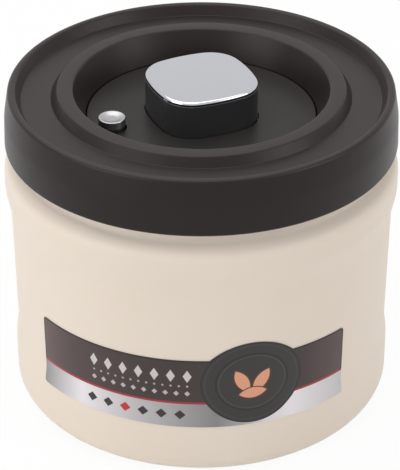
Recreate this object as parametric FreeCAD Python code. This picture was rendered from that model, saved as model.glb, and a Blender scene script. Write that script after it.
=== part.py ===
import FreeCAD, Part
import math
import os

# Vacuum canister: a drawn sheet pot with a press-on lid that carries a hand pump and a release valve.
# Millimetres. Origin at the centre of the foot, +Z up, the label faces -Y.

# Clearances and shared values
touch_gap = 0.03
slide_gap = 0.3
running_gap = 0.05
press_gap = 0.05
overrun = 1.0
full_turn = 360.0
quarter_turn = 90.0

# Pot: outside of the sheet, from the foot up to the rolled rim
sheet = 0.6
base_radius = 64.5
base_corner = 9.4
foot_width = 14.0
foot_slope = 3.0
foot_edge = 1.2
base_panel_rise = 1.5
base_band_height = 18.6
base_band_bend = 12.0
base_step_height = 6.9
base_step_in = 0.9
waist_low_bend = 12.0
waist_height = 44.5
waist_flare = 0.75
waist_high_bend = 8.0
collar_step_height = 7.5
collar_out = 1.65
collar_low_bend = 10.0
collar_height = 7.8
shoulder_bend = 4.5
shoulder_rise = 4.0
shoulder_in = 4.8
neck_bend = 3.0
neck_height = 14.9
rim_hook_width = 0.7
rim_hook_drop = 1.8
rim_bend = 0.3

# Label on the waist: a band with rounded corners, and the cap of a circle above it
label_sheet = 0.2
label_inset = 1.4
label_height = 25.7
label_corner = 1.2
label_start_angle = -54.4
label_end_angle = 46.6
lobe_radius = 19.35
lobe_rise = 12.2
lobe_angle = 15.0

# Main gasket
gasket_flange_sheet = 1.2
gasket_flange_width = 4.8
gasket_sleeve = 1.4
gasket_fin_count = 2
gasket_fin_pitch = 3.0
gasket_fin_first = 1.6
gasket_fin_height = 1.6

# Lid cover: outside of the moulding, from the skirt's edge to the flange under the deck
lid_wall = 2.0
skirt_gap = 1.1
skirt_overlap = 11.1
skirt_height = 10.4
skirt_draft = 0.3
skirt_bend = 20.0
lid_edge_round = 1.0
lid_rim_rise = 3.5
lid_rim_lean = 1.4
lid_rim_width = 2.3
lid_rim_round = 1.2
lid_rim_slope = 2.0
channel_round = 0.3
ring_rise = 3.2
ring_outer_slope = 2.2
ring_width = 5.0
ring_round = 1.0
well_slope = 4.25
well_depth = 9.7
well_round = 0.3
well_margin = 2.65
cover_clamp = 1.4

# Deck plate: floor of the well
deck_sheet = 2.0
deck_round = 0.4
deck_post_radius = 1.4
deck_post_count = 3

# Pump button: a rounded square with bowed sides, turned about the lid's axis
button_half = 17.2
button_corner_out = 2.0
button_side_radius = 50.0
button_turn = 24.0
button_stands = 12.9
button_gap = 0.4
button_wall = 2.0
button_travel = 10.0
plate_sheet = 1.5
plate_round = 0.9
plate_peg_radius = 1.0
plate_peg_length = 1.6
plate_peg_inset = 4.2
plate_peg_count = 4

# Pump cylinder
bore_margin = 1.8
cylinder_wall = 1.8
cylinder_floor = 2.0
cylinder_corner = 1.5
cylinder_flange_width = 3.6
cylinder_flange_sheet = 2.6
oring_wire = 1.6
oring_squeeze = 0.1
spring_room = 8.5
spring_ring_height = 1.2
spring_ring_width = 1.2

# Inlet valve: umbrella with a stem and a bulb, over a ring of holes
valve_stem_radius = 1.5
valve_bulb_out = 0.7
valve_bulb_height = 1.6
valve_edge = 0.5
valve_crown = 1.2
inlet_hole_radius = 1.0
inlet_hole_web = 1.3
inlet_hole_cover = 1.2
inlet_hole_count = 6

# Piston, its seal and screws
piston_top_sheet = 1.8
piston_low_sheet = 1.6
seal_height = 2.3
seal_width = 2.3
seal_lip = 0.6
seal_notch_depth = 1.2
piston_dish_inset = 2.2
piston_dish_depth = 2.2
piston_screw_count = 3
piston_screw_radius = 1.1
piston_screw_head_radius = 2.7
piston_screw_head_height = 1.5
piston_screw_length = 9.0
button_boss_radius = 2.6
button_boss_inset = 0.9

# Return spring of the pump
return_wire = 1.2
return_inset = 2.3
return_turns = 5
return_seat = 1.0

# Lid base: the wall that holds the vacuum
lid_base_floor = 2.0
plug_gap = 3.0
plug_wall = 2.0
plug_lip = 1.4
plug_lip_round = 1.0
plug_flange_width = 4.2
plug_flange_sheet = 1.3
lid_base_edge_round = 0.3

# Screws of the cover
cover_screw_inset = 3.85
cover_screw_count = 6
cover_screw_radius = 1.2
cover_screw_head_radius = 2.5
cover_screw_length = 8.0
screw_boss_radius = 3.2
screw_boss_cap = 1.6
drive_radius = 1.0
drive_depth = 0.7

# Vacuum release
release_angle = 200.2
release_spacing = 0.6
release_stands = 3.8
release_gap = 0.4
release_shaft_radius = 1.6
release_port_gap = 0.7
release_wire = 0.5
release_turns = 4
release_spring_gap = 0.55
release_hub_wall = 0.8
release_hub_web = 0.8
release_hub_height = 2.8
release_cap_out = 0.3
release_cap_height = 2.6
release_cap_rim = 0.6
release_cap_dish = 0.6
release_peg_radius = 1.5
release_peg_height = 1.2
release_plug_overlap = 1.6
release_plug_sheet = 1.6
release_clip_overlap = 0.9
release_clip_sheet = 0.8
release_tail = 0.8

# Pot sizes that follow
foot_inner_radius = base_radius - foot_width
base_panel_radius = foot_inner_radius - foot_slope
waist_low_radius = base_radius - base_step_in
waist_high_radius = waist_low_radius + waist_flare
collar_radius = waist_high_radius + collar_out
neck_radius = collar_radius - shoulder_in
neck_bore = neck_radius - sheet
rim_radius = neck_radius + rim_hook_width + sheet
waist_low = base_band_height + base_step_height
waist_high = waist_low + waist_height
collar_low = waist_high + collar_step_height
collar_high = collar_low + collar_height
neck_low = collar_high + shoulder_rise
rim_height = neck_low + neck_height
label_low = base_band_height + label_inset
label_high = label_low + label_height
lobe_height = label_low + lobe_rise

# Lid heights that follow, upwards and downwards from the pot's rim
gasket_top = rim_height + gasket_flange_sheet
channel_under = gasket_top + plug_flange_sheet
channel_height = channel_under + lid_wall
lid_rim_height = channel_height + lid_rim_rise
lid_edge_height = rim_height - skirt_overlap
skirt_top = lid_edge_height + skirt_height
ring_height = channel_height + ring_rise
deck_height = ring_height - well_depth
flange_top = deck_height - deck_sheet
flange_low = flange_top - lid_wall
floor_top = flange_low - cylinder_flange_sheet
floor_low = floor_top - lid_base_floor

# Pump sizes that follow
button_reach = button_half + button_corner_out
button_top = deck_height + button_stands
plate_low = button_top - plate_sheet
plate_peg_circle = button_half - plate_peg_inset
bore_radius = button_reach + bore_margin
cylinder_radius = bore_radius + cylinder_wall
cylinder_flange_radius = cylinder_radius + cylinder_flange_width
oring_circle = cylinder_radius + cylinder_flange_width / 2
piston_radius = bore_radius - slide_gap
piston_core_radius = piston_radius - seal_width
piston_dish_radius = button_half - button_wall - piston_dish_inset
piston_screw_circle = piston_dish_radius - button_boss_radius - button_boss_inset
return_radius = piston_screw_circle + piston_screw_head_radius + return_inset
piston_top = flange_top - slide_gap
dish_floor = piston_top - piston_dish_depth
seal_top = piston_top - piston_top_sheet
seal_low = seal_top - seal_height
piston_low = seal_low - piston_low_sheet
return_top = piston_low + return_seat
cylinder_floor_top = return_top - button_travel - spring_room
cylinder_low = cylinder_floor_top - cylinder_floor
inlet_hole_circle = valve_stem_radius + inlet_hole_web + inlet_hole_radius
valve_disc_radius = inlet_hole_circle + inlet_hole_radius + inlet_hole_cover

# Release sizes that follow
release_port = release_shaft_radius + release_port_gap
release_spring_radius = release_port + release_wire / 2 + press_gap
release_hub_bore = release_spring_radius + release_wire / 2 + release_spring_gap
release_hub_radius = release_hub_bore + release_hub_wall
release_cap_radius = release_hub_radius + release_cap_out
release_circle = cylinder_flange_radius + release_spacing + release_hub_radius
release_top = deck_height + release_stands
hub_top = release_top - release_cap_height
hub_low = hub_top - release_hub_height
hub_web_low = hub_top - release_hub_web
plug_low = floor_low - release_plug_sheet
clip_low = plug_low - release_clip_sheet
shaft_end = clip_low - release_tail

# Lid radii that follow: the skirt from the pot's rim, the well from the release
lid_radius = rim_radius + skirt_gap + lid_wall
skirt_top_radius = lid_radius - skirt_draft
lid_rim_radius = skirt_top_radius - lid_rim_lean
lid_rim_inner_radius = lid_rim_radius - lid_rim_width
channel_radius = lid_rim_inner_radius - lid_rim_slope
well_radius = release_circle + release_cap_radius + well_margin
ring_inner_radius = well_radius + well_slope
ring_outer_radius = ring_inner_radius + ring_width
ring_foot_radius = ring_outer_radius + ring_outer_slope
cover_flange_radius = cylinder_flange_radius - cover_clamp
cover_screw_circle = well_radius - cover_screw_inset
cover_screw_angle = release_angle + full_turn / cover_screw_count / 2
deck_post_angle = release_angle + full_turn / deck_post_count / 2
plug_radius = neck_bore - plug_gap
plug_flange_radius = plug_radius + plug_flange_width
gasket_flange_radius = plug_radius + gasket_flange_width

Z_AXIS = FreeCAD.Vector(0, 0, 1)
ORIGIN = FreeCAD.Vector(0, 0, 0)
same_place = Part.Precision.confusion()


def parallel(path, gap):
    """A path of (r, z, corner radius) points, moved to its left by gap, or right where gap is negative."""
    runs = []
    for start, end in zip(path, path[1:]):
        length = math.dist(start[:2], end[:2])
        runs.append(((end[0] - start[0]) / length, (end[1] - start[1]) / length))
    moved = []
    for i, (r, z, bend) in enumerate(path):
        before = runs[max(i - 1, 0)]
        after = runs[min(i, len(runs) - 1)]
        turn = before[0] * after[1] - before[1] * after[0]
        shift = gap / (1 + before[0] * after[0] + before[1] * after[1])
        if 0 < i < len(runs):
            bend = max(bend - gap * math.copysign(1, turn), 0)
        moved.append((r - shift * (before[1] + after[1]), z + shift * (before[0] + after[0]), bend))
    return moved


def rounded_corner(before, here, after, bend):
    """Start, middle and end of a corner's tangent arc, which takes at most half of each run."""
    back = before - here
    ahead = after - here
    room = min(back.Length, ahead.Length) / 2
    back.normalize()
    ahead.normalize()
    half = back.getAngle(ahead) / 2
    tangent = min(bend / math.tan(half), room)
    radius = tangent * math.tan(half)
    inward = (back + ahead).normalize()
    middle = here + inward * (radius / math.sin(half) - radius)
    return here + back * tangent, middle, here + ahead * tangent


def outline(corners):
    """Face in the XZ plane through (r, z, radius) corners."""
    places = [FreeCAD.Vector(r, 0, z) for r, z, bend in corners]
    turns = []
    for i, place in enumerate(places):
        following = places[(i + 1) % len(places)]
        turns.append(rounded_corner(places[i - 1], place, following, corners[i][2]))
    edges = []
    for i, (start, middle, end) in enumerate(turns):
        if start.distanceToPoint(end) > same_place:
            edges.append(Part.Arc(start, middle, end).toShape())
        following = turns[(i + 1) % len(turns)][0]
        if end.distanceToPoint(following) > same_place:
            edges.append(Part.LineSegment(end, following).toShape())
    return Part.Face(Part.Wire(edges))


def turned(corners):
    """Solid of revolution about the upright axis."""
    return outline(corners).revolve(ORIGIN, Z_AXIS, full_turn)


def turned_sheet(path, wall):
    """Shell of even wall, which stands to the left of a path."""
    return turned(path + parallel(path, wall)[::-1])


def column(radius, low, high, place=(0, 0)):
    """Upright cylinder between two heights."""
    return Part.makeCylinder(radius, high - low, FreeCAD.Vector(place[0], place[1], low))


def circle_places(count, radius, first_angle=0):
    """Places evenly spaced on a circle round the upright axis."""
    places = []
    for i in range(count):
        angle = math.radians(first_angle + full_turn * i / count)
        places.append((radius * math.cos(angle), radius * math.sin(angle)))
    return places


def spun(place, angle):
    """A point turned about the upright axis."""
    return FreeCAD.Rotation(Z_AXIS, angle).multVec(place)


def at_release(shape):
    """Moves a shape from the lid's axis to the axis of the release."""
    return shape.translated(spun(FreeCAD.Vector(release_circle, 0, 0), release_angle))


def button_prism(grow, low, high):
    """Prism of the button's outline, moved outwards by grow. Sides and corners are tangent arcs."""
    half = button_half + grow
    reach = button_reach + grow
    side = button_side_radius + grow
    diagonal = math.sqrt(2)
    behind = side - half
    away = ((behind ** 2 - (side - reach) ** 2) / (diagonal * (side - reach) - behind)) / 2
    side_centre = FreeCAD.Vector(-behind, 0, low)
    to_corner = FreeCAD.Vector(away + behind, away, 0).normalize()
    meeting = side_centre + to_corner * side
    side_end = FreeCAD.Vector(meeting.x, -meeting.y, low)
    corner_end = FreeCAD.Vector(meeting.y, meeting.x, low)
    side_middle = FreeCAD.Vector(half, 0, low)
    corner_middle = FreeCAD.Vector(reach / diagonal, reach / diagonal, low)
    edges = []
    for i in range(4):
        angle = button_turn + quarter_turn * i
        for arc in ((side_end, side_middle, meeting), (meeting, corner_middle, corner_end)):
            edges.append(Part.Arc(*[spun(place, angle) for place in arc]).toShape())
    return Part.Face(Part.Wire(edges)).extrude(FreeCAD.Vector(0, 0, high - low))


def tangent_arc(start, apex, end):
    """Arc from start to end, tangent to the two equal runs that meet at apex."""
    middle = (start + end) / 2
    half_chord = start.distanceToPoint(end) / 2
    height = apex.distanceToPoint(middle)
    radius = start.distanceToPoint(apex) * half_chord / height
    sagitta = radius - math.sqrt(radius ** 2 - half_chord ** 2)
    return Part.Arc(start, middle + (apex - middle) * (sagitta / height), end).toShape()


def spring(name, radius, wire, turns, low, high):
    """Open coil of round wire between two flat seats, on biarcs of a quarter turn."""
    climb = high - low - wire
    centres = []
    headings = []
    for i in range(4 * turns + 1):
        angle = math.radians(quarter_turn * i)
        height = low + wire / 2 + climb * i / (4 * turns)
        centres.append(FreeCAD.Vector(radius * math.cos(angle), radius * math.sin(angle), height))
        rise = climb / (2 * math.pi * turns)
        heading = FreeCAD.Vector(-radius * math.sin(angle), radius * math.cos(angle), rise)
        headings.append(heading.normalize())
    edges = []
    for i in range(4 * turns):
        chord = centres[i + 1] - centres[i]
        along = chord.dot(headings[i] + headings[i + 1])
        spread = 2 * (1 - headings[i].dot(headings[i + 1]))
        reach = (math.sqrt(along ** 2 + spread * chord.dot(chord)) - along) / spread
        first = centres[i] + headings[i] * reach
        second = centres[i + 1] - headings[i + 1] * reach
        joint = (first + second) / 2
        edges.append(tangent_arc(centres[i], first, joint))
        edges.append(tangent_arc(joint, second, centres[i + 1]))
    section = Part.Wire(Part.Circle(centres[0], headings[0], wire / 2).toShape())
    coil = Part.Wire(edges).makePipeShell([section], True, False)
    gaps = [a.distanceToPoint(b) for i, a in enumerate(centres) for b in centres[i + 3:]]
    print(name, "least gap between turns", round(min(gaps) - wire, 3))
    return coil


# Pot and label
def steel_pot():
    rim_under = rim_height - sheet
    hook_radius = neck_radius + rim_hook_width
    path = [
        (0, base_panel_rise, 0),
        (base_panel_radius, base_panel_rise, foot_edge),
        (foot_inner_radius, 0, foot_edge),
        (base_radius, 0, base_corner),
        (base_radius, base_band_height, base_band_bend),
        (waist_low_radius, waist_low, waist_low_bend),
        (waist_high_radius, waist_high, waist_high_bend),
        (collar_radius, collar_low, collar_low_bend),
        (collar_radius, collar_high, shoulder_bend),
        (neck_radius, neck_low, neck_bend),
        (neck_radius, rim_under, rim_bend),
        (hook_radius, rim_under, rim_bend),
        (hook_radius, rim_under - rim_hook_drop, 0),
    ]
    return turned_sheet(path, sheet)


def front_label():
    side = [
        (base_radius, 0, 0),
        (base_radius, base_band_height, base_band_bend),
        (waist_low_radius, waist_low, waist_low_bend),
        (waist_high_radius, waist_high, 0),
    ]
    back = parallel(side, -touch_gap)
    face = parallel(side, -touch_gap - label_sheet)
    skin = turned(face + back[::-1]).common(column(collar_radius, label_low, waist_high))
    inner = waist_low_radius - overrun
    outer = collar_radius
    band = outline([
        (inner, label_low, 0),
        (outer, label_low, 0),
        (outer, label_high, 0),
        (inner, label_high, 0),
    ])
    band.rotate(ORIGIN, Z_AXIS, label_start_angle - quarter_turn)
    band = band.revolve(ORIGIN, Z_AXIS, label_end_angle - label_start_angle)
    ends = [edge for edge in band.Edges if abs(edge.Length - (outer - inner)) < same_place]
    band = band.makeFillet(label_corner, ends)
    facing = spun(FreeCAD.Vector(0, -1, 0), lobe_angle)
    lobe = Part.makeCylinder(lobe_radius, outer, FreeCAD.Vector(0, 0, lobe_height), facing)
    return skin.common(band.fuse(lobe)).removeSplitter()


# Lid shells and seals
def lid_cover():
    skirt = [
        (lid_radius - lid_wall, lid_edge_height, lid_edge_round),
        (lid_radius, lid_edge_height, lid_edge_round),
        (skirt_top_radius, skirt_top, skirt_bend),
        (lid_rim_radius, lid_rim_height, lid_rim_round),
        (lid_rim_inner_radius, lid_rim_height, lid_rim_round),
    ]
    top = [
        (channel_radius, channel_height, channel_round),
        (ring_foot_radius, channel_height, channel_round),
        (ring_outer_radius, ring_height, ring_round),
        (ring_inner_radius, ring_height, ring_round),
        (well_radius, deck_height, well_round),
        (well_radius, flange_top, well_round),
        (cover_flange_radius, flange_top, 0),
    ]
    underside = parallel(top, lid_wall)[1:]
    skirt_inside = (skirt_top_radius - lid_wall, channel_under, lid_edge_round)
    cover = turned(skirt + top + underside[::-1] + [skirt_inside])
    cuts = [cover_screw(place, press_gap) for place in cover_screw_places()]
    for place in deck_post_places():
        cuts.append(column(deck_post_radius + press_gap, flange_low - overrun, flange_top + overrun, place))
    port = release_cap_radius + 2 * release_gap
    cuts.append(at_release(column(port, flange_low - overrun, flange_top + overrun)))
    return cover.cut(cuts)


def deck_post_places():
    return circle_places(deck_post_count, cover_screw_circle, deck_post_angle)


def deck_plate():
    radius = well_radius - slide_gap
    deck = turned([
        (0, flange_top, 0),
        (radius, flange_top, 0),
        (radius, deck_height, deck_round),
        (0, deck_height, 0),
    ])
    port = release_cap_radius + release_gap
    deck = deck.cut([
        button_prism(button_gap, flange_top - overrun, deck_height + overrun),
        at_release(column(port, flange_top - overrun, deck_height + overrun)),
    ])
    post_low = flange_low + slide_gap
    posts = [column(deck_post_radius, post_low, flange_top, place) for place in deck_post_places()]
    return deck.fuse(posts)


def cover_screw_places():
    return circle_places(cover_screw_count, cover_screw_circle, cover_screw_angle)


def cover_screw(place, grow=0):
    """Countersunk screw whose head is flush with the flange."""
    head_low = flange_top - (cover_screw_head_radius - cover_screw_radius)
    head = Part.makeCone(
        cover_screw_radius + grow,
        cover_screw_head_radius + grow,
        flange_top - head_low,
        FreeCAD.Vector(place[0], place[1], head_low),
    )
    shank = column(cover_screw_radius + grow, flange_top - cover_screw_length - grow, head_low, place)
    return shank.fuse(head)


def cover_screws():
    screws = []
    for place in cover_screw_places():
        drive = column(drive_radius, flange_top - drive_depth, flange_top + overrun, place)
        screws.append(cover_screw(place).cut(drive))
    return Part.makeCompound(screws)


def lid_base():
    lip_radius = plug_radius + plug_lip
    mouth = cylinder_radius + slide_gap
    plug_inner = plug_radius - plug_wall
    base = turned([
        (mouth, floor_low, lid_base_edge_round),
        (lip_radius, floor_low, plug_lip_round),
        (lip_radius, floor_top, lid_base_edge_round),
        (plug_radius, floor_top, 0),
        (plug_radius, gasket_top, 0),
        (plug_flange_radius, gasket_top, lid_base_edge_round),
        (plug_flange_radius, channel_under, lid_base_edge_round),
        (plug_inner, channel_under, lid_base_edge_round),
        (plug_inner, floor_top, plug_lip_round),
        (mouth, floor_top, 0),
    ])
    screw_end = flange_top - cover_screw_length
    bosses = []
    for place in cover_screw_places():
        bosses.append(column(screw_boss_radius, screw_end - screw_boss_cap, flange_low, place))
    cuts = [cover_screw(place, press_gap) for place in cover_screw_places()]
    cuts.append(at_release(column(release_port, floor_low - overrun, floor_top + overrun)))
    return base.fuse(bosses).cut(cuts).removeSplitter()


def main_gasket():
    inner = plug_radius + touch_gap
    sleeve = inner + gasket_sleeve
    tip = neck_bore - slide_gap
    low = floor_top + touch_gap
    corners = [(inner, low, 0), (sleeve, low, 0)]
    for i in range(gasket_fin_count):
        start = low + gasket_fin_first + gasket_fin_pitch * i
        corners.append((sleeve, start, 0))
        corners.append((tip, start + gasket_fin_height / 2, 0))
        corners.append((sleeve, start + gasket_fin_height, 0))
    corners += [
        (sleeve, rim_height, 0),
        (gasket_flange_radius, rim_height, 0),
        (gasket_flange_radius, gasket_top, 0),
        (inner, gasket_top, 0),
    ]
    return turned(corners)


# Pump
def pump_cylinder():
    groove_in = oring_circle - oring_wire / 2 - press_gap
    groove_out = oring_circle + oring_wire / 2 + press_gap
    groove_top = floor_top + oring_wire - oring_squeeze
    ring_out = return_radius - return_wire / 2 - slide_gap
    ring_in = ring_out - spring_ring_width
    ring_top = cylinder_floor_top + spring_ring_height
    cylinder = turned([
        (0, cylinder_low, 0),
        (cylinder_radius, cylinder_low, cylinder_corner),
        (cylinder_radius, floor_top, 0),
        (groove_in, floor_top, 0),
        (groove_in, groove_top, 0),
        (groove_out, groove_top, 0),
        (groove_out, floor_top, 0),
        (cylinder_flange_radius, floor_top, 0),
        (cylinder_flange_radius, flange_low, 0),
        (cylinder_radius, flange_low, 0),
        (cylinder_radius, flange_top, 0),
        (bore_radius, flange_top, 0),
        (bore_radius, cylinder_floor_top, 0),
        (ring_out, cylinder_floor_top, 0),
        (ring_out, ring_top, 0),
        (ring_in, ring_top, 0),
        (ring_in, cylinder_floor_top, 0),
        (0, cylinder_floor_top, 0),
    ])
    low = cylinder_low - overrun
    high = cylinder_floor_top + overrun
    holes = [column(valve_stem_radius + press_gap, low, high)]
    for place in circle_places(inlet_hole_count, inlet_hole_circle):
        holes.append(column(inlet_hole_radius, low, high, place))
    return cylinder.cut(holes)


def cylinder_oring():
    squeezed = (oring_wire - oring_squeeze) / 2
    return Part.makeTorus(oring_circle, squeezed, FreeCAD.Vector(0, 0, floor_top + squeezed))


def inlet_valve():
    seat = cylinder_floor_top + touch_gap
    under = cylinder_low - touch_gap
    return turned([
        (0, under - valve_bulb_height, 0),
        (valve_stem_radius, under - valve_bulb_height, valve_edge),
        (valve_stem_radius + valve_bulb_out, under, 0),
        (valve_stem_radius, under, 0),
        (valve_stem_radius, seat, 0),
        (valve_disc_radius, seat, 0),
        (valve_disc_radius, seat + valve_edge, 0),
        (valve_stem_radius, seat + valve_crown, valve_disc_radius),
        (0, seat + valve_crown, 0),
    ])


def return_spring():
    return spring("return_spring", return_radius, return_wire, return_turns, cylinder_floor_top, return_top)


def piston_screw_places():
    return circle_places(piston_screw_count, piston_screw_circle, button_turn)


def piston():
    groove_in = return_radius - return_wire / 2 - slide_gap
    groove_out = return_radius + return_wire / 2 + slide_gap
    disc = turned([
        (0, piston_low, 0),
        (groove_in, piston_low, 0),
        (groove_in, return_top, 0),
        (groove_out, return_top, 0),
        (groove_out, piston_low, 0),
        (piston_radius, piston_low, 0),
        (piston_radius, seal_low, 0),
        (piston_core_radius, seal_low, 0),
        (piston_core_radius, seal_top, 0),
        (piston_radius, seal_top, 0),
        (piston_radius, piston_top, 0),
        (piston_dish_radius, piston_top, 0),
        (piston_dish_radius, dish_floor, 0),
        (0, dish_floor, 0),
    ])
    cuts = []
    for place in piston_screw_places():
        cuts.append(column(piston_screw_radius + slide_gap, piston_low - overrun, piston_top, place))
        seat = piston_low + piston_screw_head_height
        cuts.append(column(piston_screw_head_radius + slide_gap, piston_low - overrun, seat, place))
    return disc.cut(cuts)


def piston_seal():
    inner = piston_core_radius + touch_gap
    outer = bore_radius - running_gap
    low = seal_low + touch_gap
    high = seal_top - slide_gap
    return turned([
        (inner, low, 0),
        (outer - seal_lip, low, 0),
        (outer, high - seal_lip, 0),
        (outer, high, 0),
        (outer - seal_lip, high, 0),
        ((inner + outer) / 2, high - seal_notch_depth, 0),
        (inner + seal_lip, high, 0),
        (inner, high, 0),
    ])


def piston_screws():
    screws = []
    seat = piston_low + piston_screw_head_height
    for place in piston_screw_places():
        head = column(piston_screw_head_radius, piston_low, seat, place)
        shank = column(piston_screw_radius, seat, seat + piston_screw_length, place)
        drive = column(drive_radius, piston_low - overrun, piston_low + drive_depth, place)
        screws.append(head.fuse(shank).cut(drive))
    return Part.makeCompound(screws)


def plate_peg_places():
    first_angle = button_turn + full_turn / plate_peg_count / 2
    return circle_places(plate_peg_count, plate_peg_circle, first_angle)


def button_shell():
    ceiling = plate_low - button_wall
    shell = button_prism(0, piston_top, plate_low)
    shell = shell.cut(button_prism(-button_wall, piston_top - overrun, ceiling))
    bosses = []
    cuts = []
    for place in piston_screw_places():
        bosses.append(column(button_boss_radius, dish_floor, ceiling + button_wall / 2, place))
        screw_end = piston_low + piston_screw_head_height + piston_screw_length
        pilot = piston_screw_radius + press_gap
        cuts.append(column(pilot, dish_floor - overrun, screw_end + slide_gap, place))
    for place in plate_peg_places():
        low = plate_low - plate_peg_length - press_gap
        cuts.append(column(plate_peg_radius + press_gap, low, plate_low + overrun, place))
    return shell.fuse(bosses).cut(cuts)


def button_plate():
    plate = button_prism(0, plate_low, button_top)
    top_edges = [edge for edge in plate.Edges if edge.BoundBox.ZMin > plate_low + plate_sheet / 2]
    plate = plate.makeFillet(plate_round, top_edges)
    peg_low = plate_low - plate_peg_length
    pegs = [column(plate_peg_radius, peg_low, plate_low, place) for place in plate_peg_places()]
    return plate.fuse(pegs)


# Vacuum release
def release_cap():
    socket_radius = release_peg_radius + press_gap
    socket_top = hub_top + release_peg_height + press_gap
    dish_edge = release_cap_radius - release_cap_rim
    return at_release(turned([
        (0, socket_top, 0),
        (socket_radius, socket_top, 0),
        (socket_radius, hub_top, 0),
        (release_cap_radius, hub_top, 0),
        (release_cap_radius, release_top, release_cap_rim / 2),
        (dish_edge, release_top, release_cap_rim / 2),
        (dish_edge / 2, release_top - release_cap_dish, release_cap_radius),
        (0, release_top - release_cap_dish, 0),
    ]))


def release_stem():
    peg_top = hub_top + release_peg_height
    return at_release(turned([
        (0, shaft_end, 0),
        (release_shaft_radius, shaft_end, release_shaft_radius / 2),
        (release_shaft_radius, hub_web_low, 0),
        (release_hub_bore, hub_web_low, 0),
        (release_hub_bore, hub_low, 0),
        (release_hub_radius, hub_low, 0),
        (release_hub_radius, hub_top, 0),
        (release_peg_radius, hub_top, 0),
        (release_peg_radius, peg_top, 0),
        (0, peg_top, 0),
    ]))


def release_washer(radius, low, high):
    """Flat ring on the release's shaft."""
    bore = release_shaft_radius + touch_gap
    return at_release(turned([(bore, low, 0), (radius, low, 0), (radius, high, 0), (bore, high, 0)]))


def release_plug():
    return release_washer(release_port + release_plug_overlap, plug_low, floor_low)


def release_clip():
    return release_washer(release_port + release_clip_overlap, clip_low, plug_low)


def release_spring():
    coil = spring(
        "release_spring", release_spring_radius, release_wire, release_turns, floor_top, hub_web_low
    )
    return at_release(coil)


pieces = [
    steel_pot,
    front_label,
    lid_cover,
    deck_plate,
    lid_base,
    main_gasket,
    cover_screws,
    pump_cylinder,
    cylinder_oring,
    inlet_valve,
    return_spring,
    piston,
    piston_seal,
    piston_screws,
    button_shell,
    button_plate,
    release_cap,
    release_stem,
    release_plug,
    release_clip,
    release_spring,
]

os.makedirs("parts", exist_ok=True)
for piece in pieces:
    shape = piece()
    shape.exportStep("parts/" + piece.__name__ + ".step")
    print(piece.__name__, len(shape.Solids), "solids", shape.isValid(), round(shape.Volume, 1))
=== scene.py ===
import bpy
import bmesh
import math
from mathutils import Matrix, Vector


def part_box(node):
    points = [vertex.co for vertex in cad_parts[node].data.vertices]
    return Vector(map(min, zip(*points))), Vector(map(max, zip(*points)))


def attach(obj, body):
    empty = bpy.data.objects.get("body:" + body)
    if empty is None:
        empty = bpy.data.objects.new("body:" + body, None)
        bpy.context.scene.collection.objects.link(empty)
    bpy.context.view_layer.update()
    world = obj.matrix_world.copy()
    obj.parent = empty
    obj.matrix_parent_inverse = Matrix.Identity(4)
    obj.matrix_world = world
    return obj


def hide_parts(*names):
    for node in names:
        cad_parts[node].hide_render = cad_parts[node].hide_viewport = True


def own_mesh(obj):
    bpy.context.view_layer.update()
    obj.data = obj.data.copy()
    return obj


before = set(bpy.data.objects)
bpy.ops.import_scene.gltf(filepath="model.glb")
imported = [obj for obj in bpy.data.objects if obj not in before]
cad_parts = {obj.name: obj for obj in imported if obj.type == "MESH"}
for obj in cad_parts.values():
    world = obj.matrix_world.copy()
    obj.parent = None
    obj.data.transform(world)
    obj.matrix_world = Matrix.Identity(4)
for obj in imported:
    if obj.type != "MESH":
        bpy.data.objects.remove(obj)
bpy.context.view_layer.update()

# Vacuum canister with its paint, print, plastics and chrome.
# Sizes are in millimetres, and become metres where a mesh, a light or the camera is made.
# The label faces -Y.
MM = 0.001


def corners_of(node):
    """Lowest and highest corner of a node, in millimetres."""
    low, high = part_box(node)
    return low / MM, high / MM


# Pot
pot_high = corners_of("steel_pot")[1]
sheet = 0.6
collar_radius = pot_high.x
rim_height = pot_high.z
collar_out = 1.65
waist_flare = 0.75
base_step_in = 0.9
shoulder_in = 4.8
waist_high_radius = collar_radius - collar_out
waist_low_radius = waist_high_radius - waist_flare
base_radius = waist_low_radius + base_step_in
neck_radius = collar_radius - shoulder_in
neck_height = 14.9
shoulder_rise = 4.0
collar_height = 7.8
collar_step_height = 7.5
base_band_height = 18.6
base_step_height = 6.9
neck_low = rim_height - neck_height
collar_high = neck_low - shoulder_rise
collar_low = collar_high - collar_height
waist_high = collar_low - collar_step_height
waist_low = base_band_height + base_step_height
base_corner = 9.4
base_bend = 12.0
waist_high_bend = 8.0
collar_low_bend = 10.0
shoulder_bend = 4.5
neck_bend = 3.0
foot_width = 14.0
foot_slope = 3.0
foot_edge = 1.2
base_panel_rise = 1.5
rim_hook_width = 0.7
rim_hook_drop = 1.8
rim_bend = 0.3
paint_stop = 8.0

# Label
label_low = corners_of("front_label")[0].z
label_sheet = 0.2
label_gap = 0.03
label_height = 25.7
label_corner = 1.2
label_start_angle = -54.4
label_end_angle = 46.6
lobe_radius = 19.35
lobe_rise = 12.2
lobe_angle = 15.0
badge_half_width = 17.1
badge_half_height = 15.5
badge_rise = 16.2
print_edge = 0.06
red_line_rise = 9.0
red_line_half = 0.4
almond_line = 0.42
# Width of the painted shadow line round the label's dark field
edge_shadow_width = 0.45

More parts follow.
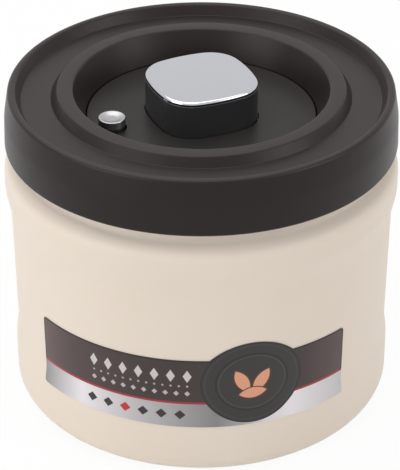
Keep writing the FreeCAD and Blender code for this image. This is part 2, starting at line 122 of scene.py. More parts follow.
# Lid cover and deck
cover_low, cover_high = corners_of("lid_cover")
deck_high = corners_of("deck_plate")[1]
slide_gap = 0.3
lid_wall = 2.0
lid_radius = cover_high.x
lid_edge_height = cover_low.z
lid_rim_height = cover_high.z
skirt_height = 10.4
skirt_draft = 0.3
skirt_bend = 20.0
lid_edge_round = 1.0
lid_rim_rise = 3.5
lid_rim_lean = 1.4
lid_rim_width = 2.3
lid_rim_round = 1.2
lid_rim_slope = 2.0
channel_round = 0.3
ring_rise = 3.2
ring_outer_slope = 2.2
ring_width = 5.0
ring_round = 1.0
well_slope = 4.25
well_round = 0.3
deck_sheet = 2.0
deck_round = 0.4
deck_height = deck_high.z
flange_top = deck_height - deck_sheet
flange_low = flange_top - lid_wall
cover_flange_radius = 25.0
skirt_top = lid_edge_height + skirt_height
skirt_top_radius = lid_radius - skirt_draft
lid_rim_radius = skirt_top_radius - lid_rim_lean
lid_rim_inner_radius = lid_rim_radius - lid_rim_width
channel_radius = lid_rim_inner_radius - lid_rim_slope
channel_height = lid_rim_height - lid_rim_rise
ring_height = channel_height + ring_rise
well_radius = deck_high.x + slide_gap
ring_inner_radius = well_radius + well_slope
ring_outer_radius = ring_inner_radius + ring_width
ring_foot_radius = ring_outer_radius + ring_outer_slope

# Pump button
button_top = corners_of("button_plate")[1].z
button_half = 17.2
button_reach = 19.2
button_side_radius = 50.0
button_turn = 24.0
button_gap = 0.4
button_wall = 2.0
plate_sheet = 1.5
plate_round = 0.9
shell_edge = 0.15
plate_seat = button_top - plate_sheet
shell_foot = flange_top - slide_gap

# Vacuum release
cap_low, cap_high = corners_of("release_cap")
stem_low, stem_high = corners_of("release_stem")
release_place = ((cap_low.x + cap_high.x) / 2, (cap_low.y + cap_high.y) / 2)
release_radius = (cap_high.x - cap_low.x) / 2
release_top = cap_high.z
release_gap = 0.4
release_rim = 0.6
release_dish = 0.6
hub_radius = (stem_high.x - stem_low.x) / 2
hub_top = cap_low.z
hub_bore = 3.4
hub_height = 2.8
hub_web = 0.8
shaft_radius = 1.6
peg_radius = 1.5
peg_height = stem_high.z - hub_top

# Springs
return_wire = 1.2
return_turns = 5
release_wire = 0.5
release_turns = 4

# Fineness of the meshes
turn_steps = 192
small_turn_steps = 64
coil_steps = 48
wire_steps = 12
quarter_steps = 12
edge_steps = 8
label_rows = 24
label_left_steps = 60
label_lobe_steps = 48
label_right_steps = 24
bend_step = math.radians(7.5)
sharp_angle = math.radians(40)
overrun = 1.0
same_place = 1e-6

# Studio
floor_radius = 4000.0
floor_white_share = 0.93
room_strength = 0.34
aim_height = 54.06
camera_distance = 780.0
camera_elevation = 31.27
camera_lens = 174.25
camera_shift = (-0.0030, 0.0011)


def tone(red, green, blue):
    """Linear colour of a screen colour from 0 to 255."""
    linear = []
    for value in (red, green, blue):
        share = value / 255
        linear.append(share / 12.92 if share <= 0.04045 else ((share + 0.055) / 1.055) ** 2.4)
    return (*linear, 1.0)


class Finish:
    """A material and the nodes behind its principled surface."""

    def __init__(self, name, constants):
        self.material = bpy.data.materials.new(name)
        self.material.use_nodes = True
        self.tree = self.material.node_tree
        self.surface = self.tree.nodes["Principled BSDF"]
        for socket, value in constants.items():
            self.surface.inputs[socket].default_value = value
        self.place = self.node("ShaderNodeTexCoord").outputs["Object"]

    def join(self, value, socket):
        """Links a socket, or sets a plain value."""
        if isinstance(value, bpy.types.NodeSocket):
            self.tree.links.new(value, socket)
        else:
            socket.default_value = value

    def node(self, kind, inputs=None, **settings):
        made = self.tree.nodes.new(kind)
        for setting, value in settings.items():
            setattr(made, setting, value)
        for socket, value in (inputs or {}).items():
            self.join(value, made.inputs[socket])
        return made

    def math(self, operation, *values):
        inputs = dict(enumerate(values))
        return self.node("ShaderNodeMath", inputs, operation=operation).outputs[0]

    def noise(self, scale, detail=2.0, place=None):
        inputs = {"Vector": place or self.place, "Scale": scale, "Detail": detail}
        return self.node("ShaderNodeTexNoise", inputs).outputs[0]

    def spread(self, value, low, high, first=0.0, last=1.0):
        """Maps first to last on to low to high."""
        inputs = {"Value": value, "From Min": first, "From Max": last, "To Min": low, "To Max": high}
        return self.node("ShaderNodeMapRange", inputs).outputs[0]

    def blend(self, factor, first, second):
        made = self.node("ShaderNodeMix", {0: factor, 6: first, 7: second}, data_type="RGBA")
        return made.outputs[2]

    def paint(self, socket, value):
        self.join(value, self.surface.inputs[socket])

    def bump(self, height, distance, strength):
        inputs = {"Height": height, "Distance": distance, "Strength": strength}
        self.paint("Normal", self.node("ShaderNodeBump", inputs).outputs[0])


# Materials
white_shine = (1.0, 1.0, 1.0, 1.0)


def moulded_plastic(name, dark, light, specular, rough, grain_scale, grain_depth, shine=white_shine):
    """Plastic with a fine moulded grain, faint cloudiness and uneven gloss."""
    finish = Finish(name, {"Specular IOR Level": specular, "Specular Tint": shine})
    cloud = finish.noise(scale=45.0, detail=3.0)
    gloss = finish.noise(scale=420.0)
    grain = finish.noise(scale=grain_scale, detail=3.0)
    finish.paint("Base Color", finish.blend(cloud, dark, light))
    finish.paint("Roughness", finish.spread(gloss, *rough))
    finish.bump(grain, distance=grain_depth * MM, strength=0.35)
    return finish.material


def pot_paint():
    """Satin cream enamel with a faint orange peel."""
    finish = Finish("pot_paint", {"Specular IOR Level": 0.3, "Coat Weight": 0.08, "Coat Roughness": 0.35})
    cloud = finish.noise(scale=16.0, detail=3.0)
    gloss = finish.noise(scale=90.0, detail=3.0)
    peel = finish.noise(scale=650.0, detail=1.5)
    finish.paint("Base Color", finish.blend(cloud, tone(232, 218, 202), tone(236, 224, 210)))
    finish.paint("Roughness", finish.spread(gloss, low=0.46, high=0.58))
    finish.bump(peel, distance=0.02 * MM, strength=0.3)
    return finish.material


def turned_metal(name, colour, rough, streak_scale):
    """Metal with fine streaks that run round its axis."""
    long_scale = 4.0
    dull_share = 0.86
    finish = Finish(name, {"Metallic": 1.0, "Anisotropic": 0.4})
    split = finish.node("ShaderNodeSeparateXYZ", {0: finish.place})
    across = finish.math("MULTIPLY", split.outputs["X"], split.outputs["X"])
    along = finish.math("MULTIPLY", split.outputs["Y"], split.outputs["Y"])
    radius = finish.math("SQRT", finish.math("ADD", across, along))
    level = finish.math("ADD", split.outputs["Z"], radius)
    streak_place = finish.node("ShaderNodeCombineXYZ", {
        "X": finish.math("MULTIPLY", split.outputs["X"], long_scale),
        "Y": finish.math("MULTIPLY", split.outputs["Y"], long_scale),
        "Z": finish.math("MULTIPLY", level, streak_scale),
    }).outputs[0]
    streak = finish.noise(scale=1.0, detail=4.0, place=streak_place)
    dull = (*(value * dull_share for value in colour[:3]), 1.0)
    finish.paint("Base Color", finish.blend(streak, dull, colour))
    finish.paint("Roughness", finish.spread(streak, *rough))
    finish.bump(streak, distance=0.01 * MM, strength=0.2)
    return finish.material


def chrome(name, dull, bright, rough):
    """Plated plastic: bright, very slightly wavy, with a fine haze."""
    finish = Finish(name, {"Metallic": 1.0})
    haze = finish.noise(scale=900.0)
    wave = finish.noise(scale=60.0, detail=1.0)
    finish.paint("Base Color", finish.blend(haze, dull, bright))
    finish.paint("Roughness", finish.spread(haze, *rough))
    finish.bump(wave, distance=0.02 * MM, strength=0.05)
    return finish.material


def silicone():
    """Milky rubber."""
    finish = Finish("silicone", {
        "Specular IOR Level": 0.3,
        "Subsurface Weight": 0.3,
        "Subsurface Scale": 2.0 * MM,
    })
    cloud = finish.noise(scale=200.0, detail=3.0)
    grain = finish.noise(scale=1500.0)
    finish.paint("Base Color", finish.blend(cloud, tone(222, 221, 216), tone(232, 231, 227)))
    finish.paint("Roughness", finish.spread(cloud, low=0.5, high=0.62))
    finish.bump(grain, distance=0.02 * MM, strength=0.3)
    return finish.material


def label_print():
    """Printed film: a dark band, a red line, a silver band, and a round badge with almonds; the bands carry
    painted sheen and the dark field a painted edge shadow.
    """
    finish = Finish("label_print", {"Specular IOR Level": 0.35, "Coat Weight": 0.1, "Coat Roughness": 0.2})
    split = finish.node("ShaderNodeSeparateXYZ", {0: finish.place})
    front = finish.math("MULTIPLY", split.outputs["Y"], -1.0)
    angle = finish.math("ARCTAN2", split.outputs["X"], front)
    face_radius = waist_low_radius + label_gap + label_sheet
    across = finish.math("MULTIPLY", angle, face_radius)
    height = finish.math("SUBTRACT", finish.math("DIVIDE", split.outputs["Z"], MM), label_low)

    def inside(distance):
        """One where a signed distance is below zero."""
        return finish.spread(distance, low=1.0, high=0.0, first=-print_edge, last=print_edge)

    def from_centre(middle_across, middle_height):
        aside = finish.math("SUBTRACT", across, middle_across)
        above = finish.math("SUBTRACT", height, middle_height)
        return aside, above

    def length(aside, above):
        return finish.math("SQRT", finish.math(
            "ADD", finish.math("MULTIPLY", aside, aside), finish.math("MULTIPLY", above, above)))

    def row_of_lozenges(first, pitch, count, middle_height, half_width, half_height):
        """Signed distance of a row of lozenges that stops after count of them."""
        aside, above = from_centre(first - pitch / 2, middle_height)
        step = finish.math("SUBTRACT", finish.math("FLOORED_MODULO", aside, pitch), pitch / 2)
        wide = finish.math("DIVIDE", finish.math("ABSOLUTE", step), half_width)
        tall = finish.math("DIVIDE", finish.math("ABSOLUTE", above), half_height)
        beyond = finish.math("SUBTRACT", finish.math("ADD", wide, tall), 1.0)
        shape = finish.math("MULTIPLY", beyond, half_width)
        half_row = pitch * count / 2
        from_middle = finish.math("ABSOLUTE", finish.math("SUBTRACT", aside, half_row))
        return finish.math("MAXIMUM", shape, finish.math("SUBTRACT", from_middle, half_row))

    def almond(middle_across, middle_height, half_length, half_width, lean):
        """Signed distance of a pointed oval, the space shared by two circles."""
        aside, above = from_centre(middle_across, middle_height)
        lean = math.radians(lean)
        along = finish.math("ADD", finish.math("MULTIPLY", aside, math.cos(lean)),
                            finish.math("MULTIPLY", above, math.sin(lean)))
        beside = finish.math("SUBTRACT", finish.math("MULTIPLY", above, math.cos(lean)),
                             finish.math("MULTIPLY", aside, math.sin(lean)))
        offset = (half_length ** 2 - half_width ** 2) / (2 * half_width)
        away = finish.math("ADD", finish.math("ABSOLUTE", beside), offset)
        return finish.math("SUBTRACT", length(along, away), offset + half_width)

    # Dark field over a silver band, both with painted reflections: lighter and darker stripes across them
    # stand in for sheen, and a red line between them
    def ramp(stops, tint_shares):
        """Painted reflection: brightness at places across the label, in one tint."""
        first, last = stops[0][0], stops[-1][0]
        made = finish.node("ShaderNodeValToRGB", {0: finish.spread(across, 0.0, 1.0, first, last)})
        elements = made.color_ramp.elements
        while len(elements) < len(stops):
            elements.new(0.5)
        for element, (place, level) in zip(elements, stops):
            element.position = (place - first) / (last - first)
            element.color = tone(*(level * share for share in tint_shares))
        return made.outputs[0]

    # Painted reflection: the dark field lighter towards both ends, the silver band in bright and dark
    # stripes
    dark = ramp([(-61.0, 90), (-46.0, 73), (-16.0, 60), (35.0, 63), (52.0, 84)], (1.0, 0.78, 0.77))
    silver_with_painted_sheen = ramp([
        (-61.0, 136), (-42.5, 234), (-22.0, 192), (5.0, 134),
        (13.0, 170), (21.0, 224), (31.0, 240), (52.0, 203),
    ], (1.0, 0.98, 0.99))
    above_line = finish.math("SUBTRACT", height, red_line_rise)
    ink = finish.blend(inside(above_line), dark, silver_with_painted_sheen)
    on_line = finish.math("SUBTRACT", finish.math("ABSOLUTE", above_line), red_line_half)
    ink = finish.blend(inside(on_line), ink, tone(164, 44, 54))

    # Painted shadow: a thin dark line round the dark field, standing in for the shadow at the film's edge
    past_top = finish.math("SUBTRACT", height, label_height)
    past_start = finish.math("SUBTRACT", math.radians(label_start_angle) * face_radius, across)
    past_end = finish.math("SUBTRACT", across, math.radians(label_end_angle) * face_radius)
    outward = finish.math("MAXIMUM", past_top, finish.math("MAXIMUM", past_start, past_end))
    from_edge_shadow = finish.math("SUBTRACT", -edge_shadow_width, outward)
    below_line = finish.math("MULTIPLY", above_line, -1.0)
    ink = finish.blend(inside(finish.math("MAXIMUM", from_edge_shadow, below_line)), ink, tone(36, 26, 25))

    # Rows of lozenges on the two bands: first place, pitch, count, height, half width, half height, colour
    rows = [
        (-37.0, 5.4, 7, 19.6, 1.45, 2.4, tone(206, 200, 198)),
        (-37.0, 2.7, 13, 15.7, 0.5, 0.5, tone(176, 165, 163)),
        (-37.0, 3.6, 10, 12.8, 0.95, 1.0, tone(190, 180, 178)),
        (-38.0, 6.2, 6, 4.4, 1.9, 1.7, tone(52, 46, 48)),
        (-25.6, 6.2, 1, 4.4, 1.9, 1.7, tone(196, 42, 48)),
    ]
    for *shape, colour in rows:
        ink = finish.blend(inside(row_of_lozenges(*shape)), ink, colour)

    # Oval badge with rings (share of the badge, half width, grey level)
    badge_across = math.radians(lobe_angle) * face_radius
    aside, above = from_centre(badge_across, badge_rise)
    from_badge = length(aside, finish.math("MULTIPLY", above, badge_half_width / badge_half_height))
    ink = finish.blend(inside(finish.math("SUBTRACT", from_badge, badge_half_width)), ink, tone(50, 46, 45))
    for share, wide, grey in ((0.985, 0.35, 40), (0.92, 0.3, 58), (0.7, 0.5, 36), (0.66, 0.3, 64)):
        ring = finish.math("ABSOLUTE", finish.math("SUBTRACT", from_badge, badge_half_width * share))
        ink = finish.blend(inside(finish.math("SUBTRACT", ring, wide)), ink, tone(grey, grey - 2, grey - 2))

    # Almonds: place, height, half length, half width, lean in degrees
    almonds = [
        (badge_across - 3.4, badge_rise + 0.6, 5.4, 2.5, 118.0),
        (badge_across + 3.0, badge_rise + 0.2, 5.4, 2.5, 58.0),
        (badge_across + 0.2, badge_rise - 4.2, 5.2, 2.4, 4.0),
    ]
    for shape in almonds:
        distance = almond(*shape)
        ink = finish.blend(inside(distance), ink, tone(92, 54, 44))
        fill = finish.math("ADD", distance, almond_line)
        ink = finish.blend(inside(fill), ink, tone(226, 160, 128))
    finish.paint("Base Color", ink)
    gloss = finish.noise(scale=300.0)
    wave = finish.noise(scale=500.0, detail=1.0)
    finish.paint("Roughness", finish.spread(gloss, low=0.34, high=0.42))
    finish.bump(wave, distance=0.01 * MM, strength=0.2)
    return finish.material


# Mesh makers
def parallel(path, gap):
    """A path of (r, z, bend, slot) points, moved to its left by gap."""
    runs = []
    for start, end in zip(path, path[1:]):
        length = math.dist(start[:2], end[:2])
        runs.append(((end[0] - start[0]) / length, (end[1] - start[1]) / length))
    moved = []
    for i, (r, z, bend, slot) in enumerate(path):
        before = runs[max(i - 1, 0)]
        after = runs[min(i, len(runs) - 1)]
        turn = before[0] * after[1] - before[1] * after[0]
        shift = gap / (1 + before[0] * after[0] + before[1] * after[1])
        if 0 < i < len(runs):
            bend = max(bend - gap * math.copysign(1, turn), 0)
        moved.append((r - shift * (before[1] + after[1]), z + shift * (before[0] + after[0]), bend, slot))
    return moved


def rounded(corners):
    """Points (r, z, slot) of a closed outline whose corners are arcs that take at most half of each run."""
    places = [Vector(corner[:2]) for corner in corners]
    points = []
    for i, here in enumerate(places):
        bend, slot = corners[i][2:]
        back = places[i - 1] - here
        ahead = places[(i + 1) % len(places)] - here
        room = min(back.length, ahead.length) / 2
        half = back.angle(ahead) / 2
        if bend == 0 or math.pi / 2 - half < same_place:
            points.append((here.x, here.y, slot))
            continue
        tangent = min(bend / math.tan(half), room)
        radius = tangent * math.tan(half)
        inward = (back.normalized() + ahead.normalized()).normalized()
        centre = here + inward * (radius / math.sin(half))
        start = here + back.normalized() * tangent - centre
        end = here + ahead.normalized() * tangent - centre
        first = math.atan2(start.y, start.x)
        sweep = math.atan2(start.x * end.y - start.y * end.x, start.dot(end))
        steps = max(2, math.ceil(abs(sweep) / bend_step))
        for step in range(steps + 1):
            angle = first + sweep * step / steps
            points.append((centre.x + radius * math.cos(angle), centre.y + radius * math.sin(angle), slot))
    return points


def to_piece(name, mesh, materials):
    """Object from a bmesh, smooth but for its sharp edges."""
    bmesh.ops.remove_doubles(mesh, verts=mesh.verts, dist=same_place)
    bmesh.ops.recalc_face_normals(mesh, faces=mesh.faces)
    for face in mesh.faces:
        face.smooth = True
    data = bpy.data.meshes.new(name)
    mesh.to_mesh(data)
    mesh.free()
    data.set_sharp_from_angle(angle=sharp_angle)
    for material in materials:
        data.materials.append(material)
    piece = bpy.data.objects.new(name, data)
    bpy.context.scene.collection.objects.link(piece)
    return piece


def loft(mesh, rings, slots, closed):
    """Faces between rings of vertices. A ring of one repeated vertex makes a point."""
    pairs = list(zip(rings, rings[1:] + rings[:1], slots))
    for ring, following, slot in pairs if closed else pairs[:-1]:
        for j in range(len(ring)):
            k = (j + 1) % len(ring)
            corners = list(dict.fromkeys([ring[j], ring[k], following[k], following[j]]))
            if len(corners) > 2:
                mesh.faces.new(corners).material_index = slot


def lathe(name, corners, materials, steps=turn_steps, place=(0, 0)):
    """Closed turned mesh through (r, z, bend, slot) corners."""
    mesh = bmesh.new()
    rings = []
    slots = []
    for r, z, slot in rounded(corners):
        count = steps if r > same_place else 1
        ring = []
        for i in range(count):
            angle = 2 * math.pi * i / count
            point = Vector((place[0] + r * math.cos(angle), place[1] + r * math.sin(angle), z))
            ring.append(mesh.verts.new(point * MM))
        rings.append(ring * (steps // count))
        slots.append(slot)
    loft(mesh, rings, slots, True)
    return to_piece(name, mesh, materials)


def column(radius, low, high, place):
    """Cutter for a round hole."""
    corners = [(0, low, 0, 0), (radius, low, 0, 0), (radius, high, 0, 0), (0, high, 0, 0)]
    return lathe("cutter", corners, [], small_turn_steps, place)


def button_outline(grow):
    """Points of the button's rounded square, moved outwards by grow: four bowed sides and four corners."""
    half = button_half + grow
    reach = button_reach + grow
    side = button_side_radius + grow
    diagonal = math.sqrt(2)
    behind = side - half
    away = ((behind ** 2 - (side - reach) ** 2) / (diagonal * (side - reach) - behind)) / 2
    swing = math.atan2(away, away + behind)
    corner = reach - diagonal * away
    points = []
    for i in range(4):
        turn = math.radians(button_turn + 90 * i)
        for step in range(-quarter_steps, quarter_steps):
            angle = swing * step / quarter_steps
            points.append(turned((side * math.cos(angle) - behind, side * math.sin(angle)), turn))
        for step in range(quarter_steps):
            angle = swing + (math.pi / 2 - 2 * swing) * step / quarter_steps
            points.append(turned((away + corner * math.cos(angle), away + corner * math.sin(angle)), turn))
    return points


def turned(point, angle):
    """A flat point turned about the axis."""
    x, y = point
    return x * math.cos(angle) - y * math.sin(angle), x * math.sin(angle) + y * math.cos(angle)


def button_loft(name, sections, materials):
    """Closed mesh through the button's outline at (grow, z) sections, with flat ends."""
    mesh = bmesh.new()
    rings = []
    for grow, z in sections:
        rings.append([mesh.verts.new(Vector((x, y, z)) * MM) for x, y in button_outline(grow)])
    loft(mesh, rings, [0] * len(rings), False)
    mesh.faces.new(rings[0])
    mesh.faces.new(rings[-1])
    return to_piece(name, mesh, materials)


def drill(piece, cutters):
    """Cuts the cutters out of a piece and removes them."""
    for cutter in cutters:
        cut = piece.modifiers.new("cut", "BOOLEAN")
        cut.object = cutter
        cut.solver = "EXACT"
    graph = bpy.context.evaluated_depsgraph_get()
    drilled = bpy.data.meshes.new_from_object(piece.evaluated_get(graph))
    piece.modifiers.clear()
    piece.data = drilled
    drilled.set_sharp_from_angle(angle=sharp_angle)
    for cutter in cutters:
        bpy.data.objects.remove(cutter)


def stand_in(piece, node, body):
    """The piece takes a node's place on its body."""
    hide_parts(node)
    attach(piece, body)


# Pieces
def pot_outside():
    rim_under = rim_height - sheet
    hook_radius = neck_radius + rim_hook_width
    foot_inner_radius = base_radius - foot_width
    return [
        (0, base_panel_rise, 0, 0),
        (foot_inner_radius - foot_slope, base_panel_rise, foot_edge, 0),
        (foot_inner_radius, 0, foot_edge, 0),
        (base_radius, 0, base_corner, 0),
        (base_radius, base_band_height, base_bend, 0),
        (waist_low_radius, waist_low, base_bend, 0),
        (waist_high_radius, waist_high, waist_high_bend, 0),
        (collar_radius, collar_low, collar_low_bend, 0),
        (collar_radius, collar_high, shoulder_bend, 0),
        (neck_radius, neck_low, neck_bend, 0),
        (neck_radius, neck_low + paint_stop, 0, 1),
        (neck_radius, rim_under, rim_bend, 1),
        (hook_radius, rim_under, rim_bend, 1),
        (hook_radius, rim_under - rim_hook_drop, 0, 1),
    ]


def pot(paint, steel):
    outside = pot_outside()
    inside = [(r, z, bend, 1) for r, z, bend, slot in parallel(outside, sheet)]
    return lathe("pot", outside + inside[::-1], [paint, steel])


def side_radius(height):
    """Outside of the pot's band and waist at a height."""
    side = [(r, z) for r, z, slot in rounded(pot_outside()) if base_corner < z < collar_low]
    side.insert(0, (base_radius, 0))
    for (low_r, low), (high_r, high) in zip(side, side[1:]):
        if low <= height <= high:
            return low_r + (high_r - low_r) * (height - low) / (high - low)


def label_columns():
    """Places across the label, in millimetres along the waist, with its lower and upper edge there."""
    radius = waist_low_radius
    start = math.radians(label_start_angle) * radius
    end = math.radians(label_end_angle) * radius
    middle = math.radians(lobe_angle) * radius
    lobe_chord = math.sqrt(lobe_radius ** 2 - (label_height - lobe_rise) ** 2)
    lobe_half = radius * math.asin(lobe_chord / radius)
    quarter = math.pi / 2 / quarter_steps
    places = []
    for i in range(quarter_steps):
        places.append(start + label_corner * (1 - math.cos(quarter * i)))
    for low, high, count in (
        (start + label_corner, middle - lobe_half, label_left_steps),
        (middle - lobe_half, middle + lobe_half, label_lobe_steps),
        (middle + lobe_half, end - label_corner, label_right_steps),
    ):
        places += [low + (high - low) * i / count for i in range(count)]
    for i in range(quarter_steps + 1):
        places.append(end - label_corner * (1 - math.sin(quarter * i)))
    columns = []
    for place in places:
        into = max(start + label_corner - place, place - end + label_corner, 0)
        inset = label_corner - math.sqrt(max(label_corner ** 2 - into ** 2, 0))
        low, high = inset, label_height - inset
        if abs(place - middle) < lobe_half:
            aside = radius * math.sin((place - middle) / radius)
            high = max(high, lobe_rise + math.sqrt(lobe_radius ** 2 - aside ** 2))
        columns.append((place / radius, label_low + low, label_low + high))
    return columns


def label(film):
    """Thin film on the waist: rows of points on its face and back, joined round the edge."""
    mesh = bmesh.new()
    sides = []
    for lift in (label_gap, label_gap + label_sheet):
        columns = []
        for angle, low, high in label_columns():
            column_points = []
            for i in range(label_rows + 1):
                z = low + (high - low) * i / label_rows
                r = side_radius(z) + lift
                point = Vector((r * math.sin(angle), -r * math.cos(angle), z))
                column_points.append(mesh.verts.new(point * MM))
            columns.append(column_points)
        sides.append(columns)
    back, face = sides
    count = len(face)
    for i in range(count - 1):
        for j in range(label_rows):
            for columns in (back, face):
                left, right = columns[i], columns[i + 1]
                mesh.faces.new([left[j], right[j], right[j + 1], left[j + 1]])
        for j in (0, label_rows):
            mesh.faces.new([back[i][j], back[i + 1][j], face[i + 1][j], face[i][j]])
    for i in (0, count - 1):
        for j in range(label_rows):
            mesh.faces.new([back[i][j], back[i][j + 1], face[i][j + 1], face[i][j]])
    return to_piece("label", mesh, [film])


def cover(plastic):
    skirt = [
        (lid_radius - lid_wall, lid_edge_height, lid_edge_round, 0),
        (lid_radius, lid_edge_height, lid_edge_round, 0),
        (skirt_top_radius, skirt_top, skirt_bend, 0),
        (lid_rim_radius, lid_rim_height, lid_rim_round, 0),
        (lid_rim_inner_radius, lid_rim_height, lid_rim_round, 0),
    ]
    top = [
        (channel_radius, channel_height, channel_round, 0),
        (ring_foot_radius, channel_height, channel_round, 0),
        (ring_outer_radius, ring_height, ring_round, 0),
        (ring_inner_radius, ring_height, ring_round, 0),
        (well_radius, deck_height, well_round, 0),
        (well_radius, flange_top, well_round, 0),
        (cover_flange_radius, flange_top, 0, 0),
    ]
    underside = parallel(top, lid_wall)[1:]
    skirt_inside = (skirt_top_radius - lid_wall, channel_height - lid_wall, lid_edge_round, 0)
    piece = lathe("cover", skirt + top + underside[::-1] + [skirt_inside], [plastic])
    port = release_radius + 2 * release_gap
    drill(piece, [column(port, flange_low - overrun, flange_top + overrun, release_place)])
    return piece


def deck(plastic):
    radius = deck_high.x
    piece = lathe("deck", [
        (0, flange_top, 0, 0),
        (radius, flange_top, 0, 0),
        (radius, deck_height, deck_round, 0),
        (0, deck_height, 0, 0),
    ], [plastic])
    low = flange_top - overrun
    high = deck_height + overrun
    hole = button_loft("cutter", [(button_gap, low), (button_gap, high)], [])
    drill(piece, [hole, column(release_radius + release_gap, low, high, release_place)])
    return piece


def button_side(gloss):
    ceiling = plate_seat - button_wall
    return button_loft("button_side", [
        (-button_wall, ceiling),
        (-button_wall, shell_foot),
        (-shell_edge, shell_foot),
        (0, shell_foot + shell_edge),
        (0, plate_seat - shell_edge),
        (-shell_edge, plate_seat),
    ], [gloss])


def button_face(plating):
    sections = [(-shell_edge, plate_seat), (0, plate_seat + shell_edge)]
    for i in range(edge_steps + 1):
        angle = math.pi / 2 * i / edge_steps
        grow = plate_round * (math.cos(angle) - 1)
        sections.append((grow, button_top - plate_round + plate_round * math.sin(angle)))
    return button_loft("button_face", sections, [plating])


def release_button(plating):
    dish_edge = release_radius - release_rim
    return lathe("release_button", [
        (0, hub_top + peg_height, 0, 0),
        (peg_radius, hub_top + peg_height, 0, 0),
        (peg_radius, hub_top, 0, 0),
        (release_radius, hub_top, 0, 0),
        (release_radius, release_top, release_rim / 2, 0),
        (dish_edge, release_top, release_rim / 2, 0),
        (dish_edge / 2, release_top - release_dish, release_radius, 0),
        (0, release_top - release_dish, 0, 0),
    ], [plating], small_turn_steps, release_place)


def release_hub(gloss):
    return lathe("release_hub", [
        (0, stem_low.z, 0, 0),
        (shaft_radius, stem_low.z, shaft_radius / 2, 0),
        (shaft_radius, hub_top - hub_web, 0, 0),
        (hub_bore, hub_top - hub_web, 0, 0),
        (hub_bore, hub_top - hub_height, 0, 0),
        (hub_radius, hub_top - hub_height, 0, 0),
        (hub_radius, hub_top, 0, 0),
        (peg_radius, hub_top, 0, 0),
        (peg_radius, hub_top + peg_height, 0, 0),
        (0, hub_top + peg_height, 0, 0),
    ], [gloss], small_turn_steps, release_place)


def coil(name, node, wire, turns, metal):
    """Open coil of round wire in a spring's place."""
    low, high = corners_of(node)
    radius = (high.x - low.x - wire) / 2
    climb = high.z - low.z - wire
    foot = Vector(((low.x + high.x) / 2, (low.y + high.y) / 2, low.z + wire / 2))
    count = coil_steps * turns
    mesh = bmesh.new()
    rings = []
    for i in range(count + 1):
        angle = 2 * math.pi * turns * i / count
        outward = Vector((math.cos(angle), math.sin(angle), 0))
        heading = Vector((-math.sin(angle), math.cos(angle), climb / (2 * math.pi * turns * radius)))
        upward = outward.cross(heading.normalized())
        centre = foot + outward * radius + Vector((0, 0, climb * i / count))
        ring = []
        for j in range(wire_steps):
            around = 2 * math.pi * j / wire_steps
            spoke = outward * math.cos(around) + upward * math.sin(around)
            ring.append(mesh.verts.new((centre + spoke * wire / 2) * MM))
        rings.append(ring)
    loft(mesh, rings, [0] * len(rings), False)
    mesh.faces.new(rings[0])
    mesh.faces.new(rings[-1])
    return to_piece(name, mesh, [metal])


def press(piece):
    """Gives the coil a mesh of its own."""
    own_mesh(piece)


lid_plastic = moulded_plastic(
    "lid_plastic", tone(27, 20, 19), tone(31, 24, 23), specular=0.27, rough=(0.34, 0.41),
    grain_scale=2400.0, grain_depth=0.03, shine=(1.0, 0.93, 0.93, 1.0))
deck_plastic = moulded_plastic(
    "deck_plastic", tone(44, 42, 41), tone(48, 46, 45), specular=0.13, rough=(0.32, 0.38),
    grain_scale=1600.0, grain_depth=0.015)
inner_plastic = moulded_plastic(
    "inner_plastic", tone(214, 214, 210), tone(222, 222, 219), specular=0.4, rough=(0.4, 0.5),
    grain_scale=900.0, grain_depth=0.02)
button_plastic = moulded_plastic(
    "button_plastic", tone(51, 50, 52), tone(55, 54, 56), specular=0.5, rough=(0.2, 0.28),
    grain_scale=300.0, grain_depth=0.005)
rubber = silicone()
plated = chrome("chrome", tone(188, 189, 194), tone(192, 193, 198), rough=(0.05, 0.09))
satin_plated = chrome("satin_chrome", tone(164, 163, 165), tone(168, 167, 169), rough=(0.3, 0.36))
bare_steel = turned_metal("bare_steel", tone(196, 196, 198), rough=(0.22, 0.34), streak_scale=2600.0)
screw_steel = turned_metal("screw_steel", tone(186, 186, 184), rough=(0.3, 0.42), streak_scale=4000.0)
spring_steel = turned_metal("spring_steel", tone(176, 177, 180), rough=(0.25, 0.35), streak_scale=6000.0)

stand_in(pot(pot_paint(), bare_steel), "steel_pot", "canister")
stand_in(label(label_print()), "front_label", "canister")
stand_in(cover(lid_plastic), "lid_cover", "lid")
stand_in(deck(deck_plastic), "deck_plate", "lid")
stand_in(button_side(button_plastic), "button_shell", "pump")
stand_in(button_face(plated), "button_plate", "pump")
stand_in(release_button(satin_plated), "release_cap", "release")
stand_in(release_hub(button_plastic), "release_stem", "release")
return_coil = coil("return_coil", "return_spring", return_wire, return_turns, spring_steel)
stand_in(return_coil, "return_spring", "lid")
press(return_coil)
release_coil = coil("release_coil", "release_spring", release_wire, release_turns, spring_steel)
stand_in(release_coil, "release_spring", "lid")
press(release_coil)

# Inner pieces keep their own shapes
inner_finishes = {
    "lid_base": inner_plastic,
    "pump_cylinder": inner_plastic,
    "piston": inner_plastic,
    "main_gasket": rubber,
    "cylinder_oring": rubber,
    "inlet_valve": rubber,
    "piston_seal": rubber,
    "release_plug": rubber,
    "cover_screws": screw_steel,
    "piston_screws": screw_steel,
    "release_clip": spring_steel,
}
for node, finish in inner_finishes.items():
    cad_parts[node].data.materials.clear()
    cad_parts[node].data.materials.append(finish)


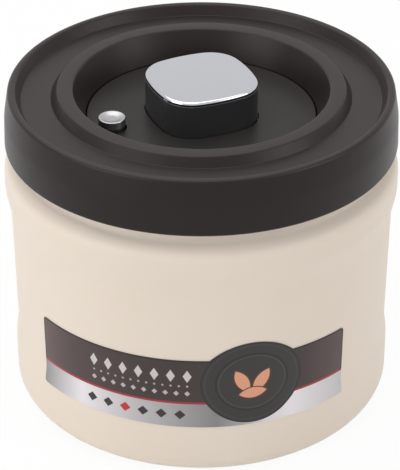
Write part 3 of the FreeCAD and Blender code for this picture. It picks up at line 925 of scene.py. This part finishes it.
# Studio
def show_white(tree, lit, share):
    """Mixes plain white into a shader for what the camera sees, also in mirrors and through glass."""
    path = tree.nodes.new("ShaderNodeLightPath")
    seen = path.outputs["Is Camera Ray"]
    for ray in ("Is Glossy Ray", "Is Transmission Ray"):
        either = tree.nodes.new("ShaderNodeMath")
        either.operation = "MAXIMUM"
        tree.links.new(seen, either.inputs[0])
        tree.links.new(path.outputs[ray], either.inputs[1])
        seen = either.outputs[0]
    weight = tree.nodes.new("ShaderNodeMath")
    weight.operation = "MULTIPLY"
    weight.inputs[1].default_value = share
    tree.links.new(seen, weight.inputs[0])
    white = tree.nodes.new("ShaderNodeEmission")
    mix = tree.nodes.new("ShaderNodeMixShader")
    tree.links.new(weight.outputs[0], mix.inputs[0])
    tree.links.new(lit, mix.inputs[1])
    tree.links.new(white.outputs[0], mix.inputs[2])
    return mix.outputs[0]


def floor(radius, share):
    mesh = bmesh.new()
    bmesh.ops.create_circle(mesh, cap_ends=True, segments=turn_steps, radius=radius * MM)
    finish = Finish("floor", {"Roughness": 0.9, "Specular IOR Level": 0.0})
    finish.paint("Base Color", finish.blend(finish.noise(3.0), tone(246, 246, 246), tone(250, 250, 250)))
    output = finish.tree.nodes["Material Output"]
    lit = show_white(finish.tree, finish.surface.outputs[0], share)
    finish.tree.links.new(lit, output.inputs["Surface"])
    to_piece("floor", mesh, [finish.material])


def room(strength):
    world = bpy.data.worlds.new("room")
    bpy.context.scene.world = world
    world.use_nodes = True
    tree = world.node_tree
    tree.nodes["Background"].inputs["Strength"].default_value = strength
    tree.nodes["Background"].inputs["Color"].default_value = (1.0, 1.0, 1.0, 1.0)
    lit = show_white(tree, tree.nodes["Background"].outputs[0], 1.0)
    tree.links.new(lit, tree.nodes["World Output"].inputs["Surface"])


def softbox(name, place, aim, size, watts):
    data = bpy.data.lights.new(name, "AREA")
    data.shape = "RECTANGLE"
    data.size = size[0] * MM
    data.size_y = size[1] * MM
    data.energy = watts
    lamp = bpy.data.objects.new(name, data)
    lamp.location = Vector(place) * MM
    lamp.rotation_mode = "QUATERNION"
    lamp.rotation_quaternion = (Vector(aim) - Vector(place)).to_track_quat("-Z", "Y")
    bpy.context.scene.collection.objects.link(lamp)


def camera(aim_at, distance, elevation, lens, shift):
    data = bpy.data.cameras.new("camera")
    data.lens = lens
    data.shift_x, data.shift_y = shift
    seen = bpy.data.objects.new("camera", data)
    rise = math.radians(elevation)
    back = Vector((0, -math.cos(rise), math.sin(rise)))
    seen.location = (Vector((0, 0, aim_at)) + back * distance) * MM
    seen.rotation_mode = "QUATERNION"
    seen.rotation_quaternion = (-back).to_track_quat("-Z", "Y")
    bpy.context.scene.collection.objects.link(seen)
    bpy.context.scene.camera = seen


floor(floor_radius, floor_white_share)
room(room_strength)
softbox("overhead", place=(-150.0, 100.0, 900.0), aim=(0, 0, 80.0), size=(1000.0, 1000.0), watts=5.8)
softbox("left", place=(-790.0, -590.0, 420.0), aim=(0, 0, 50.0), size=(700.0, 700.0), watts=3.4)
softbox("right", place=(870.0, -380.0, 600.0), aim=(0, 0, 50.0), size=(600.0, 560.0), watts=2.7)
camera(aim_height, camera_distance, camera_elevation, camera_lens, camera_shift)
bpy.context.scene.view_settings.view_transform = "Standard"
